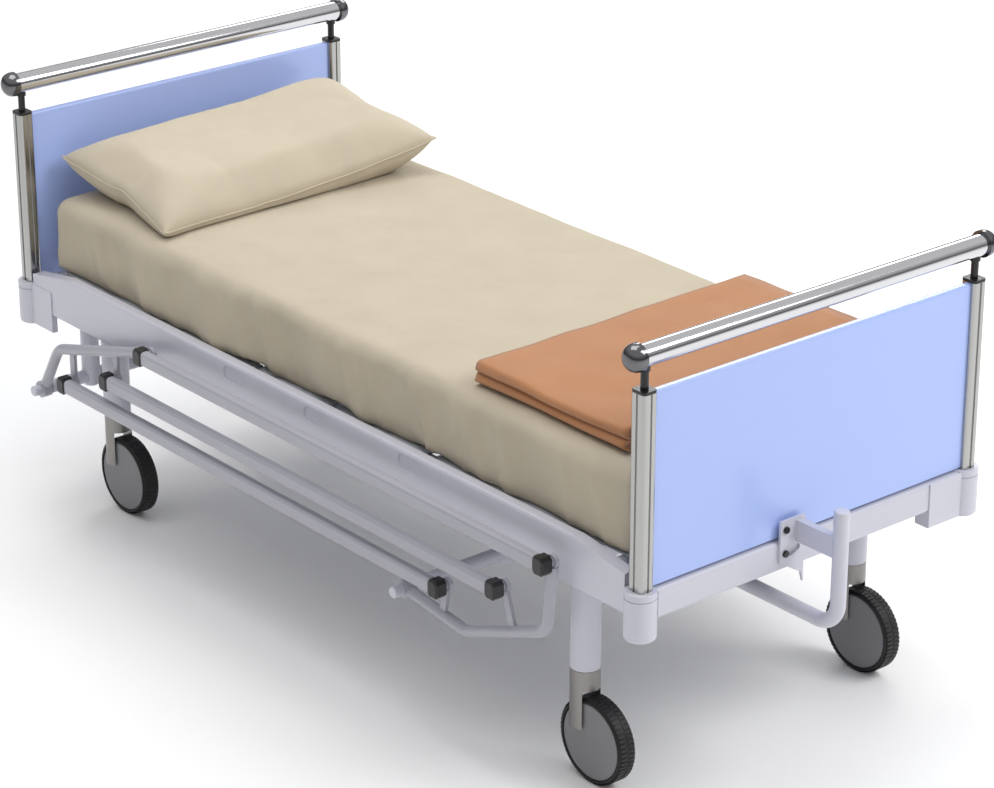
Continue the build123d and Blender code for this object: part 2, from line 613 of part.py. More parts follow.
def make_casters():
    for end, y in (("head", LEG_Y), ("foot", -LEG_Y)):
        for side, x in (("left", -LEG_X), ("right", LEG_X)):
            keep("caster_fork_%s_%s" % (end, side), caster_fork(x, y))
            keep("caster_disc_%s_%s" % (end, side), caster_disc(x, y))
            keep("caster_tyre_%s_%s" % (end, side), caster_tyre(x, y))


# ---- foot end holder ------------------------------------------------------------------
def make_holder():
    """Bent tube in front of the foot beam, tied back to it by a bracket with an arm."""
    low = CROSS_TOP - CROSS_H
    points = [(HOLDER_X, -LEG_Y, low), (HOLDER_X, -LEG_Y, HOLDER_Z),
              (HOLDER_X, HOLDER_Y, HOLDER_Z), (HOLDER_X, HOLDER_Y, HOLDER_TOP)]
    tube = bent_tube(points, 52.0, HOLDER_R)
    keep("holder_tube", fillet(tube.edges().sort_by(Axis.Z)[-1], 4.0))
    face = -POST_Y - END_BEAM_W / 2
    left, right = HOLDER_X - 50, HOLDER_X + HOLDER_R
    outline = Polyline((left, 572), (right, 572), (right, 424), (left + 60, 446), (left, 482),
                       close=True)
    front = Plane((0, face, 0), x_dir=(1, 0, 0), z_dir=(0, -1, 0))
    plate = extrude(front * make_face(outline), BRACKET_T)
    slot = Pos(HOLDER_X - 12, 502) * Rot(0, 0, 20) * SlotOverall(34, 15)
    plate -= extrude(front * slot, BRACKET_T * 3, both=True)
    arm = span(HOLDER_X - 9, HOLDER_X + 9, HOLDER_Y, face - BRACKET_T, 520, 566)
    plate += arm - rod_z(500, 580, HOLDER_X, HOLDER_Y, HOLDER_R)
    keep("holder_bracket", plate)
    screws = []
    for z in (552.0, 500.0):
        head = rod_y(face - BRACKET_T - 5, face - BRACKET_T, left + 14, z, 7.5)
        screws.append(fillet(head.edges().sort_by(Axis.Y)[0], 2.0))
    keep("holder_screws", *screws)


make_ends()
make_frame()
make_guard_supports()
make_platform()
make_bedding()
make_guards()
make_casters()
make_holder()

os.makedirs("parts", exist_ok=True)
for name, shape in parts.items():
    export_step(shape, "parts/%s.step" % name)
print(len(parts), "nodes")
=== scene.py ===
"""Adjustable hospital bed: finishes, mattress in its fitted sheet, pillow, blanket and tyres.

Every size is in metres, in the frame of the CAD model: +Z up, +Y to the head end.
"""

import json
import math

import bmesh
import bpy
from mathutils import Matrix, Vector, noise


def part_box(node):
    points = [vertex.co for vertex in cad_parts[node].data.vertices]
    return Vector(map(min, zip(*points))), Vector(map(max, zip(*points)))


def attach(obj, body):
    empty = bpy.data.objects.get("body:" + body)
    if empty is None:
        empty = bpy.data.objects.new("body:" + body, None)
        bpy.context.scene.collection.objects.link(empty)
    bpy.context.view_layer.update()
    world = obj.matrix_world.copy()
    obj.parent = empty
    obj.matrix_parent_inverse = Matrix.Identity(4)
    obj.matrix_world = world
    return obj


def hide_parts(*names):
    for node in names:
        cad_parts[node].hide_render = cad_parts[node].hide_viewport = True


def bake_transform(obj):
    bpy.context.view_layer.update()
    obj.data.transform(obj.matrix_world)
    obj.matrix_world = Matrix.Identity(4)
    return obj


bl_info = {
    "name": "Hospital Bed Dressing",
    "version": (1, 0, 0),
    "blender": (4, 5, 0),
    "location": "View3D > Sidebar > Hospital Bed",
    "description": "Finishes and soft goods for an adjustable hospital bed",
    "category": "Object",
}

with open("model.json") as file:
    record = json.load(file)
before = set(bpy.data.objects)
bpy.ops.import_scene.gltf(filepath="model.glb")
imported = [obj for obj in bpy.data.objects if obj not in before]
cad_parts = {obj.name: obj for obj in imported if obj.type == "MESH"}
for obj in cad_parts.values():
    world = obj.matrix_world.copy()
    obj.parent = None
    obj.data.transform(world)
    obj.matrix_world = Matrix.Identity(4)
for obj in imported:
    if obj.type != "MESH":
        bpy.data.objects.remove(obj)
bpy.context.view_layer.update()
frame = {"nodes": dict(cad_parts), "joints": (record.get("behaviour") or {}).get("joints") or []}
NODES = frame["nodes"]
JOINTS = {joint["name"]: joint for joint in frame["joints"]}
MATTRESS_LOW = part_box("mattress_calf")[0]
MATTRESS_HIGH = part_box("mattress_backrest")[1]
HINGE_Y = {name: JOINTS[name + "_tilt"]["pos_m"][1] for name in ("backrest", "thigh", "calf")}
CASTERS = [end + "_" + side for end in ("head", "foot") for side in ("left", "right")]


def colour_prop(name, description, default):
    return bpy.props.FloatVectorProperty(
        name=name, description=description, subtype="COLOR", size=3,
        min=0.0, max=1.0, default=default)


def length_prop(name, description, default):
    return bpy.props.FloatProperty(
        name=name, description=description, default=default, unit="LENGTH")


class BedColours(bpy.types.PropertyGroup):
    lacquer: colour_prop("Lacquer", "Powder coat of the frame", (0.58, 0.58, 0.655))
    guards: colour_prop("Guards", "Coat of the side guard bars", (0.38, 0.38, 0.43))
    boards: colour_prop("End boards", "Laminate of the end boards", (0.40, 0.51, 0.90))
    sheet: colour_prop("Sheet", "Cotton of the fitted sheet and pillowcase", (0.56, 0.49, 0.37))
    blanket: colour_prop("Blanket", "Wool of the folded blanket", (0.49, 0.20, 0.065))


class BedSofts(bpy.types.PropertyGroup):
    crown: length_prop("Crown", "How far the mattress top rises at its middle", 0.006)
    wrinkle: length_prop("Wrinkle", "Depth of the sheet's creases on the sides", 0.013)
    pillow_width: length_prop("Pillow width", "Pillow across the bed, before filling", 0.80)
    pillow_depth: length_prop("Pillow depth", "Pillow along the bed, before filling", 0.46)
    blanket_layer: length_prop("Blanket thickness", "One layer of the blanket", 0.0052)


class BedWheels(bpy.types.PropertyGroup):
    tread_blocks: bpy.props.IntProperty(
        name="Tread blocks", description="Blocks in one row round a tyre", default=58, min=8)
    tread_depth: length_prop("Tread depth", "Height of a tread block", 0.0014)


class BedStage(bpy.types.PropertyGroup):
    camera_place: bpy.props.FloatVectorProperty(
        name="Camera", description="Where the camera stands", subtype="XYZ", unit="LENGTH",
        size=3, default=(-4.3016, -5.2047, 3.3593))
    camera_down: bpy.props.FloatProperty(
        name="Look down", description="Angle of the view below the horizon",
        unit="ROTATION", default=math.radians(23.10))
    camera_turn: bpy.props.FloatProperty(
        name="Turn", description="Angle of the view round the bed",
        unit="ROTATION", default=math.radians(-39.83))
    camera_lens: bpy.props.FloatProperty(
        name="Lens", description="Focal length in millimetres", default=119.94, min=1.0)
    floor: colour_prop("Floor", "Colour of the floor", (0.95, 0.95, 0.95))


# Materials


class Value:
    """A shader socket that can be used in sums and products."""

    def __init__(self, shade, socket):
        self.shade = shade
        self.socket = socket

    def maths(self, operation, *values):
        return self.shade.node("ShaderNodeMath", {"operation": operation}, *values)

    def __add__(self, other):
        return self.maths("ADD", self, other)

    def __radd__(self, other):
        return self.maths("ADD", other, self)

    def __sub__(self, other):
        return self.maths("SUBTRACT", self, other)

    def __rsub__(self, other):
        return self.maths("SUBTRACT", other, self)

    def __mul__(self, other):
        return self.maths("MULTIPLY", self, other)

    def __rmul__(self, other):
        return self.maths("MULTIPLY", other, self)


class Shade:
    """A material whose surface is one Principled shader."""

    def __init__(self, name, colour, roughness, **fixed):
        self.material = bpy.data.materials.new(name)
        self.material.use_nodes = True
        self.tree = self.material.node_tree
        self.surface = self.tree.nodes["Principled BSDF"]
        self.set("Base Color", (*colour, 1.0))
        self.set("Roughness", roughness)
        for socket, value in fixed.items():
            self.set(socket.replace("_", " ").title(), value)

    def set(self, socket, value):
        self.fill(self.surface.inputs[socket], value)

    def fill(self, socket, value):
        if isinstance(value, Value):
            self.tree.links.new(value.socket, socket)
        else:
            socket.default_value = value

    def node(self, kind, settings=None, *values, output=0, **named):
        """Add a node, set it up, and give back one of its outputs."""
        made = self.tree.nodes.new(kind)
        for key, value in (settings or {}).items():
            setattr(made, key, value)
        for position, value in enumerate(values):
            self.fill(made.inputs[position], value)
        for key, value in named.items():
            self.fill(made.inputs[key.replace("_", " ")], value)
        return Value(self, made.outputs[output])

    def place(self, scale=(1.0, 1.0, 1.0)):
        """Object coordinates, stretched by scale."""
        object_place = self.node("ShaderNodeTexCoord", output="Object")
        return self.node("ShaderNodeMapping", None, Vector=object_place, Scale=scale)

    def noise(self, scale, stretch=(1.0, 1.0, 1.0), detail=2.0):
        return self.node("ShaderNodeTexNoise", None, Vector=self.place(stretch),
                         Scale=scale, Detail=detail)

    def waves(self, scale, direction):
        settings = {"bands_direction": direction}
        return self.node("ShaderNodeTexWave", settings, Vector=self.place(), Scale=scale)

    def tint(self, mask, colour, other):
        """colour where mask is 0, other where it is 1."""
        mixed = self.node("ShaderNodeMix", {"data_type": "RGBA"}, output=2, Factor=mask)
        mix = mixed.socket.node
        mix.inputs[6].default_value = (*colour, 1.0)
        mix.inputs[7].default_value = (*other, 1.0)
        self.set("Base Color", mixed)

    def bump(self, height, distance, strength=1.0):
        self.set("Normal", self.node("ShaderNodeBump", None, Height=height,
                                     Distance=distance, Strength=strength))


def scaled(colour, factor):
    return tuple(min(1.0, channel * factor) for channel in colour)


def lacquer(name, colour, roughness=0.38, coat=0.25):
    """Powder coat, with a faint orange peel."""
    shade = Shade(name, colour, roughness, Coat_Weight=coat, Coat_Roughness=0.2)
    patches = shade.noise(6.0)
    shade.tint(patches, scaled(colour, 0.95), scaled(colour, 1.04))
    shade.set("Roughness", roughness - 0.05 + patches * 0.10)
    shade.bump(shade.noise(420.0), 0.00025, 0.35)
    return shade.material


def metal(name, colour, roughness, stretch, streaks):
    """Bare metal with fine lines along one direction."""
    shade = Shade(name, colour, roughness, Metallic=1.0)
    lines = shade.noise(60.0, stretch, 4.0)
    shade.tint(lines, scaled(colour, 1.0 - streaks), scaled(colour, 1.0 + streaks))
    shade.set("Roughness", roughness * (1.0 - streaks) + lines * (roughness * streaks * 2.0))
    return shade.material


def plastic(name, colour, roughness, grain=0.0002):
    shade = Shade(name, colour, roughness)
    shade.bump(shade.noise(900.0), grain, 0.4)
    return shade.material


def cloth(name, colour, thread, fuzz, crease):
    """Woven cloth: crossed threads, soft creases and slight unevenness of colour."""
    shade = Shade(name, colour, 0.9, Sheen_Weight=fuzz, Sheen_Roughness=0.5)
    patches = shade.noise(9.0, detail=5.0)
    shade.tint(patches, scaled(colour, 0.90), scaled(colour, 1.08))
    threads = shade.waves(1.0 / thread, "X") + shade.waves(1.0 / thread, "Y")
    threads = threads + shade.waves(1.0 / thread, "Z")
    folds = shade.noise(7.0, (1.0, 1.0, 0.6), 3.0)
    shade.bump(threads * (thread * 0.10) + folds * crease, 1.0, 0.8)
    return shade.material


def laminate(name, colour):
    shade = Shade(name, colour, 0.28, Coat_Weight=0.3, Coat_Roughness=0.1)
    patches = shade.noise(1.6, (1.0, 1.0, 0.35))
    shade.tint(patches, scaled(colour, 0.97), scaled(colour, 1.03))
    return shade.material


def paint_nodes(material, *names):
    """Give CAD nodes a finish."""
    for name in names:
        slots = NODES[name].data.materials
        slots.clear()
        slots.append(material)


def nodes_with(prefix):
    return [name for name in NODES if name.startswith(prefix)]


class BED_OT_finishes(bpy.types.Operator):
    """Give every hard part its finish"""
    bl_idname = "bed.finishes"
    bl_label = "Finishes"

    def execute(self, context):
        colours = context.scene.bed_colours
        body = lacquer("frame lacquer", colours.lacquer)
        paint_nodes(body, "side_beams", "end_beams", "cross_tubes", "corner_sockets",
                    "leg_columns", "guard_cross_shafts", "guard_hangers", "holder_tube",
                    "holder_bracket", *nodes_with("release_knob"))
        guard = lacquer("guard coat", colours.guards, 0.30, 0.4)
        paint_nodes(guard, *[name for name in nodes_with("guard_")
                             if name.endswith(("_left", "_right")) and "joints" not in name])
        platform = lacquer("platform coat", (0.42, 0.44, 0.48), 0.45)
        paint_nodes(platform, *[name for name in NODES if "platform" in name])
        paint_nodes(metal("post aluminium", (0.42, 0.42, 0.41), 0.20, (14.0, 14.0, 0.3), 0.06),
                    "end_posts")
        paint_nodes(metal("rail polish", (0.62, 0.62, 0.64), 0.09, (0.3, 14.0, 14.0), 0.05),
                    "top_rails")
        paint_nodes(metal("fork steel", (0.26, 0.25, 0.24), 0.30, (14.0, 14.0, 0.4), 0.08),
                    "backrest_push_rod", "thigh_push_rod", *nodes_with("caster_fork"))
        paint_nodes(metal("dark polish", (0.16, 0.16, 0.17), 0.12, (1.0, 1.0, 1.0), 0.05),
                    "top_rail_caps")
        paint_nodes(plastic("black plastic", (0.008, 0.008, 0.009), 0.30),
                    "post_caps", "holder_screws",
                    *[name for name in NODES if "joints" in name])
        paint_nodes(plastic("motor plastic", (0.06, 0.06, 0.065), 0.5),
                    "backrest_actuator", "thigh_actuator")
        paint_nodes(plastic("wheel disc plastic", (0.20, 0.20, 0.21), 0.42),
                    *nodes_with("caster_disc"))
        paint_nodes(laminate("end board laminate", colours.boards), "end_panels")
        return {"FINISHED"}


# Meshes


def new_piece(name, points, faces, material, smooth=True):
    """A mesh object at the origin, from world points and faces, with outward normals."""
    mesh = bpy.data.meshes.new(name)
    mesh.from_pydata([tuple(point) for point in points], [], faces)
    shell = bmesh.new()
    shell.from_mesh(mesh)
    bmesh.ops.recalc_face_normals(shell, faces=shell.faces)
    shell.to_mesh(mesh)
    shell.free()
    mesh.polygons.foreach_set("use_smooth", [smooth] * len(mesh.polygons))
    mesh.materials.append(material)
    piece = bpy.data.objects.new(name, mesh)
    bpy.context.scene.collection.objects.link(piece)
    return piece


def plain(piece):
    """Replace a piece's mesh by what its modifiers make of it, and drop them."""
    bpy.context.view_layer.update()
    graph = bpy.context.evaluated_depsgraph_get()
    mesh = bpy.data.meshes.new_from_object(piece.evaluated_get(graph))
    piece.modifiers.clear()
    piece.data = mesh
    return piece


def ridge(x, y, z):
    """Sharp-topped noise, 0 to 1, for creases."""
    return (1.0 - abs(noise.noise(Vector((x, y, z))))) ** 6


def smooth_step(value):
    value = max(0.0, min(1.0, value))
    return value * value * (3.0 - 2.0 * value)


# The mattress


TOP_CORNER = 0.038
LOW_CORNER = 0.022
END_ROUND = 0.034
RING_STEP = 0.011
SIDE_INSET = 0.004
FOLD_RELIEF = 0.010
FOLD_REACH = 0.10
CORNER_STEPS = 6
CREASE_LEAN = 0.063
TOP_CREASE = 0.0022
TOP_SWELL = 0.0030
CAP_RINGS = 14
CAP_BULGE = 0.003
HEAD_BEND = 0.115
KNEE_BEND = 0.07


def section(half_width, low, high):
    """Outline of the mattress across the bed, as (x, z, outward x, outward z)."""
    points = []

    def corner(cx, cz, radius, start):
        for step in range(CORNER_STEPS + 1):
            angle = math.radians(start + 90.0 * step / CORNER_STEPS)
            out = (math.cos(angle), math.sin(angle))
            points.append((cx + radius * out[0], cz + radius * out[1], *out))

    def run(x0, z0, x1, z1, out):
        steps = max(2, round(math.hypot(x1 - x0, z1 - z0) / RING_STEP))
        for step in range(1, steps):
            share = step / steps
            points.append((x0 + (x1 - x0) * share, z0 + (z1 - z0) * share, *out))

    wide = half_width - TOP_CORNER
    foot = half_width - LOW_CORNER
    corner(wide, high - TOP_CORNER, TOP_CORNER, 0.0)
    run(wide, high, -wide, high, (0.0, 1.0))
    corner(-wide, high - TOP_CORNER, TOP_CORNER, 90.0)
    run(-half_width, high - TOP_CORNER, -half_width, low + LOW_CORNER, (-1.0, 0.0))
    corner(-foot, low + LOW_CORNER, LOW_CORNER, 180.0)
    run(-foot, low, foot, low, (0.0, -1.0))
    corner(foot, low + LOW_CORNER, LOW_CORNER, 270.0)
    run(half_width, low + LOW_CORNER, half_width, high - TOP_CORNER, (1.0, 0.0))
    return points


def sheet_relief(x, y, z, out_x, out_z, softs):
    """How far the sheet stands out of the plain block at a point."""
    depth = (MATTRESS_HIGH.z - z) / (MATTRESS_HIGH.z - MATTRESS_LOW.z)
    side = abs(out_x) * smooth_step(depth * 2.2 + 0.15)
    lean = y + CREASE_LEAN * depth
    drape = ridge(lean * 6.5, x * 0.5, z * 1.2) - 0.35
    drape += 0.6 * (ridge(lean * 15.0 + 7.0, x, z * 2.5) - 0.4)
    hang = noise.noise(Vector((lean * 4.0, z * 1.5, 3.0 + x)))
    relief = side * softs.wrinkle * (drape + 0.8 * hang - 0.5)
    if out_z > 0.0:
        crown = softs.crown * (1.0 - (x / MATTRESS_HIGH.x) ** 4)
        crease = TOP_CREASE * ridge(x * 2.6 + y * 1.7, y * 2.2 - x * 0.9, 9.0)
        swell = TOP_SWELL * noise.noise(Vector((x * 3.0, y * 2.4, 5.0)))
        relief += out_z * (crown + crease + swell)
    return relief


def fold_relief(y):
    """The mattress bottom is lifted a little over each hinge, to leave room for the fold."""
    near = min(abs(y - hinge) for hinge in HINGE_Y.values())
    return FOLD_RELIEF * smooth_step(1.0 - near / FOLD_REACH)


def mattress_ring(y, ends, softs):
    """One ring of points round the mattress, drawn in where it nears an end."""
    low, high = MATTRESS_LOW.z, MATTRESS_HIGH.z - softs.crown
    inset = 0.0
    for end in ends:
        gap = END_ROUND - abs(y - end)
        if gap > 0.0:
            inset = END_ROUND - math.sqrt(max(0.0, END_ROUND ** 2 - gap ** 2))
    ring = []
    width = MATTRESS_HIGH.x - SIDE_INSET
    for x, z, out_x, out_z in section(width, low, high):
        relief = sheet_relief(x, y, z, out_x, out_z, softs) - inset
        lift = fold_relief(y) * max(0.0, -out_z)
        ring.append((x + out_x * relief, y, z + out_z * relief + lift))
    return ring


def end_cap(points, faces, first, count, y, bulge, softs):
    """Close a ring of points with smaller rings and a last point in the middle."""
    centre = Vector((0.0, y, (MATTRESS_LOW.z + MATTRESS_HIGH.z) / 2))
    previous = list(range(first, first + count))
    outline = [Vector(points[index]) for index in previous]
    for ring in range(1, CAP_RINGS):
        share = ring / CAP_RINGS
        row = []
        for corner in outline:
            place = corner.lerp(centre, share)
            wave = softs.wrinkle * (ridge(place.x * 7.0, place.z * 2.0, 4.0) - 0.5)
            place.y += bulge * smooth_step(share * 3.0) * (CAP_BULGE + wave * 0.8)
            row.append(len(points))
            points.append(tuple(place))
        for index in range(count):
            after = (index + 1) % count
            faces.append((previous[index], previous[after], row[after], row[index]))
        previous = row
    middle = len(points)
    points.append(tuple(centre + Vector((0.0, bulge * CAP_BULGE, 0.0))))
    for index in range(count):
        faces.append((previous[index], previous[(index + 1) % count], middle))


def mattress_part(name, y0, y1, ends, material, softs):
    """One length of the mattress, from y0 to y1, closed at both ends."""
    points, faces = [], []
    rows = round((y1 - y0) / RING_STEP)
    count = 0
    for row in range(rows + 1):
        y = y0 + (y1 - y0) * row / rows
        ring = mattress_ring(y, ends, softs)
        count = len(ring)
        points.extend(ring)
    for row in range(rows):
        for index in range(count):
            after = (index + 1) % count
            faces.append((row * count + index, row * count + after,
                          (row + 1) * count + after, (row + 1) * count + index))
    end_cap(points, faces, 0, count, y0, -1.0 if y0 in ends else 0.0, softs)
    end_cap(points, faces, rows * count, count, y1, 1.0 if y1 in ends else 0.0, softs)
    piece = new_piece(name, points, faces, material)
    cuts = [range(first, first + count)
            for first, y in ((0, y0), (rows * count, y1)) if y not in ends]
    for edge in piece.data.edges:
        edge.use_edge_sharp = any(all(v in cut for v in edge.vertices) for cut in cuts)
    return piece


class BED_OT_mattress(bpy.types.Operator):
    """Make the mattress in its fitted sheet, in three lengths cut between the hinges"""
    bl_idname = "bed.mattress"
    bl_label = "Mattress"

    def execute(self, context):
        softs = context.scene.bed_softs
        cotton = cloth("sheet cotton", context.scene.bed_colours.sheet, 0.0016, 0.15, 0.016)
        head, foot = MATTRESS_HIGH.y, MATTRESS_LOW.y
        seat = (HINGE_Y["backrest"] + HINGE_Y["thigh"]) / 2
        thigh = (HINGE_Y["thigh"] + HINGE_Y["calf"]) / 2
        parts = (
            ("mattress_head_length", seat, head, "root", "backrest", 1.0, HEAD_BEND),
            ("mattress_seat_length", thigh, seat, "root", "thigh", -1.0, KNEE_BEND),
            ("mattress_foot_length", foot, thigh, "thigh", "calf", -1.0, KNEE_BEND),
        )
        replaced = (("mattress_backrest", "mattress_seat"), ("mattress_thigh",),
                    ("mattress_calf",))
        for (name, y0, y1, still, moving, side, reach), nodes in zip(parts, replaced):
            piece = mattress_part(name, y0, y1, (head, foot), cotton, softs)
            hinge = HINGE_Y[moving]
            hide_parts(*nodes)
            hinge - side * reach
            hinge + side * reach
            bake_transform(piece)
        return {"FINISHED"}


# The pillow


PILLOW_STEP = 0.0085
PILLOW_CENTRE = Vector((0.002, 0.862, 0.0))
PILLOW_TURN = math.radians(-1.5)
PILLOW_RISE = 0.074
PILLOW_DROP = 0.060
PILLOW_KEEP = 0.25
SEAM_HEIGHT = 0.071
SEAM_TILT = 0.024
SEAM_SAG = 0.030
PILLOW_FRAMES = 20
PILLOW_CAP = 0.11
PILLOW_PRESSURE = 4.0
PILLOW_EASE = 14
PILLOW_LUMP = 0.006
PILLOW_CREASE = 0.004
SEAM_TWIST = 0.009
END_PULL = 0.035
SIDE_DRAW = 0.06
BAG_RISE = 0.022
WELT_RADIUS = 0.0024


def pillow_bag(width, depth, material):
    """Two layers of cloth joined round their edge. Gives the piece and its edge's points."""
    columns = round(width / PILLOW_STEP)
    rows = round(depth / PILLOW_STEP)
    points, faces, lookup = [], [], {}
    for side in (1.0, -1.0):
        for row in range(rows + 1):
            for column in range(columns + 1):
                rim = row in (0, rows) or column in (0, columns)
                key = (column, row, 0.0 if rim else side)
                if key in lookup:
                    continue
                lookup[key] = len(points)
                u, v = 2.0 * column / columns - 1.0, 2.0 * row / rows - 1.0
                pull = 1.0 - END_PULL * (1.0 - abs(v)) ** 0.5 * abs(u) ** 6
                draw = 1.0 - SIDE_DRAW * (1.0 - abs(u) ** 2) * abs(v) ** 6
                rise = BAG_RISE * ((1.0 - u * u) * (1.0 - v * v)) ** 0.5
                points.append((u * width / 2 * pull, v * depth / 2 * draw,
                               0.0 if rim else side * (0.002 + rise)))
    for side in (1.0, -1.0):
        for row in range(rows):
            for column in range(columns):
                corners = ((column, row), (column + 1, row), (column + 1, row + 1),
                           (column, row + 1))
                face = []
                for c, r in corners:
                    rim = r in (0, rows) or c in (0, columns)
                    face.append(lookup[(c, r, 0.0 if rim else side)])
                faces.append(tuple(face))
    edge = [(c, 0) for c in range(columns)] + [(columns, r) for r in range(rows)]
    edge += [(c, rows) for c in range(columns, 0, -1)] + [(0, r) for r in range(rows, 0, -1)]
    return new_piece("pillow_bag", points, faces, material), [lookup[(c, r, 0.0)] for c, r in edge]


def inflate(piece, frames, pressure, cap):
    """Fill a closed bag with a cloth simulation, and keep each point within cap of its start."""
    scene = bpy.context.scene
    start = [vertex.co.copy() for vertex in piece.data.vertices]
    sim = piece.modifiers.new("fill", "CLOTH")
    sim.settings.quality = 6
    sim.settings.mass = 0.25
    sim.settings.tension_stiffness = 25.0
    sim.settings.compression_stiffness = 25.0
    sim.settings.shear_stiffness = 8.0
    sim.settings.bending_stiffness = 0.6
    sim.settings.use_pressure = True
    sim.settings.uniform_pressure_force = pressure
    sim.settings.effector_weights.gravity = 0.0
    sim.collision_settings.use_collision = False
    sim.point_cache.frame_start = 1
    sim.point_cache.frame_end = frames
    for step in range(1, frames + 1):
        scene.frame_set(step)
    plain(piece)
    scene.frame_set(1)
    for vertex, old in zip(piece.data.vertices, start):
        move = vertex.co - old
        if move.length > cap:
            move = move.normalized() * cap
        vertex.co = old + Vector((move.x * PILLOW_KEEP, move.y * PILLOW_KEEP, move.z))
    return piece


class BED_OT_pillow(bpy.types.Operator):
    """Make the pillow by filling a cloth bag, and lay it on the mattress"""
    bl_idname = "bed.pillow"
    bl_label = "Pillow"

    def execute(self, context):
        softs = context.scene.bed_softs
        cotton = cloth("pillow cotton", scaled(context.scene.bed_colours.sheet, 1.04),
                       0.0014, 0.15, 0.010)
        piece, edge = pillow_bag(softs.pillow_width, softs.pillow_depth, cotton)
        inflate(piece, PILLOW_FRAMES, PILLOW_PRESSURE, PILLOW_CAP)
        ease = piece.modifiers.new("ease", "SMOOTH")
        ease.factor = 0.5
        ease.iterations = PILLOW_EASE
        plain(piece)
        self.lay(piece)
        piece.name = "filled_pillow"
        seam = self.piping(piece, edge, cotton)
        finer = piece.modifiers.new("finer", "SUBSURF")
        finer.levels = finer.render_levels = 1
        plain(piece)
        for part in (piece, seam):
            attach(part, "backrest")
        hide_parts("pillow")
        return {"FINISHED"}

    def lay(self, piece):
        """Give the fill the pillow's real thickness, then set it down on the bed."""
        points = piece.data.vertices
        half = max(abs(vertex.co.z) for vertex in points)
        wide = max(vertex.co.x for vertex in points)
        deep = max(vertex.co.y for vertex in points)
        rest = MATTRESS_HIGH.z + 0.004
        turn_cos, turn_sin = math.cos(PILLOW_TURN), math.sin(PILLOW_TURN)
        for vertex in points:
            x, y, z = vertex.co
            u, v = x / wide, y / deep
            fill = (abs(z) / half) ** 0.78
            lump = PILLOW_LUMP * noise.noise(Vector((x * 6.0, y * 7.0, 2.0)))
            crease = PILLOW_CREASE * ridge(x * 4.0 + y * 2.0, y * 5.0, 6.0)
            seam = SEAM_HEIGHT + SEAM_TILT * (u + v) - SEAM_TWIST * u * v
            seam -= SEAM_SAG * (1.0 - u * u) * (1.0 - v) / 2
            if z > 0.0:
                height = seam + fill * PILLOW_RISE + (lump - crease) * smooth_step(fill * 2.0)
            else:
                height = max(seam - fill * PILLOW_DROP * 1.6, 0.0)
            vertex.co = (PILLOW_CENTRE.x + x * turn_cos - y * turn_sin,
                         PILLOW_CENTRE.y + x * turn_sin + y * turn_cos, rest + height)
        piece.data.update()

    def piping(self, piece, edge, material):
        """A thin welt along the pillow's seam."""
        curve = bpy.data.curves.new("pillow_welt", "CURVE")
        curve.dimensions = "3D"
        curve.bevel_depth = WELT_RADIUS
        curve.bevel_resolution = 2
        line = curve.splines.new("POLY")
        line.points.add(len(edge) - 1)
        for point, index in zip(line.points, edge):
            point.co = (*piece.data.vertices[index].co, 1.0)
        line.use_cyclic_u = True
        source = bpy.data.objects.new("pillow welt curve", curve)
        bpy.context.scene.collection.objects.link(source)
        bpy.context.view_layer.update()
        graph = bpy.context.evaluated_depsgraph_get()
        mesh = bpy.data.meshes.new_from_object(source.evaluated_get(graph))
        bpy.data.objects.remove(source)
        mesh.materials.clear()
        mesh.materials.append(material)
        mesh.polygons.foreach_set("use_smooth", [True] * len(mesh.polygons))
        seam = bpy.data.objects.new("pillow_welt", mesh)
        bpy.context.scene.collection.objects.link(seam)
        return seam


# The blanket


BLANKET_X = (-0.372, 0.388)
BLANKET_Y = (-0.885, -0.432)
BLANKET_FOLDS = 4
ARC_STEPS = 6
RUN_STEPS = 26
BLANKET_ROWS = 34
# The next four are in thicknesses of one layer.
PITCH_LAYERS = 2.15
GAP_LAYERS = 1.06
WALL_LAYERS = 0.92
REST_LAYERS = 1.6


def folded_line(low_x, high_x, pitch, folds):
    """A line that runs to and fro, as (x, z), with a round turn at each end."""
    line = []
    for fold in range(folds):
        z = pitch * fold
        forth = fold % 2 == 0
        a, b = (high_x, low_x) if forth else (low_x, high_x)
        turn = pitch / 2
        a, b = (a - turn, b + turn) if forth else (a + turn, b - turn)
        line.extend((a + (b - a) * step / RUN_STEPS, z) for step in range(RUN_STEPS + 1))
        if fold < folds - 1:
            way = -1.0 if forth else 1.0
            for step in range(1, ARC_STEPS):
                angle = math.pi * step / ARC_STEPS
                line.append((b + way * turn * math.sin(angle),
                             z + turn * (1.0 - math.cos(angle))))
    return line


def doubled(line, gap):
    """The same line as two layers, gap apart, joined round its last point."""
    sides = ([], [])
    for index, (x, z) in enumerate(line):
        before, after = line[max(0, index - 1)], line[min(len(line) - 1, index + 1)]
        run_x, run_z = after[0] - before[0], after[1] - before[1]
        length = math.hypot(run_x, run_z)
        out_x, out_z = -run_z / length, run_x / length
        sides[0].append((x + out_x * gap / 2, z + out_z * gap / 2))
        sides[1].append((x - out_x * gap / 2, z - out_z * gap / 2))
    return sides[0] + sides[1][::-1]


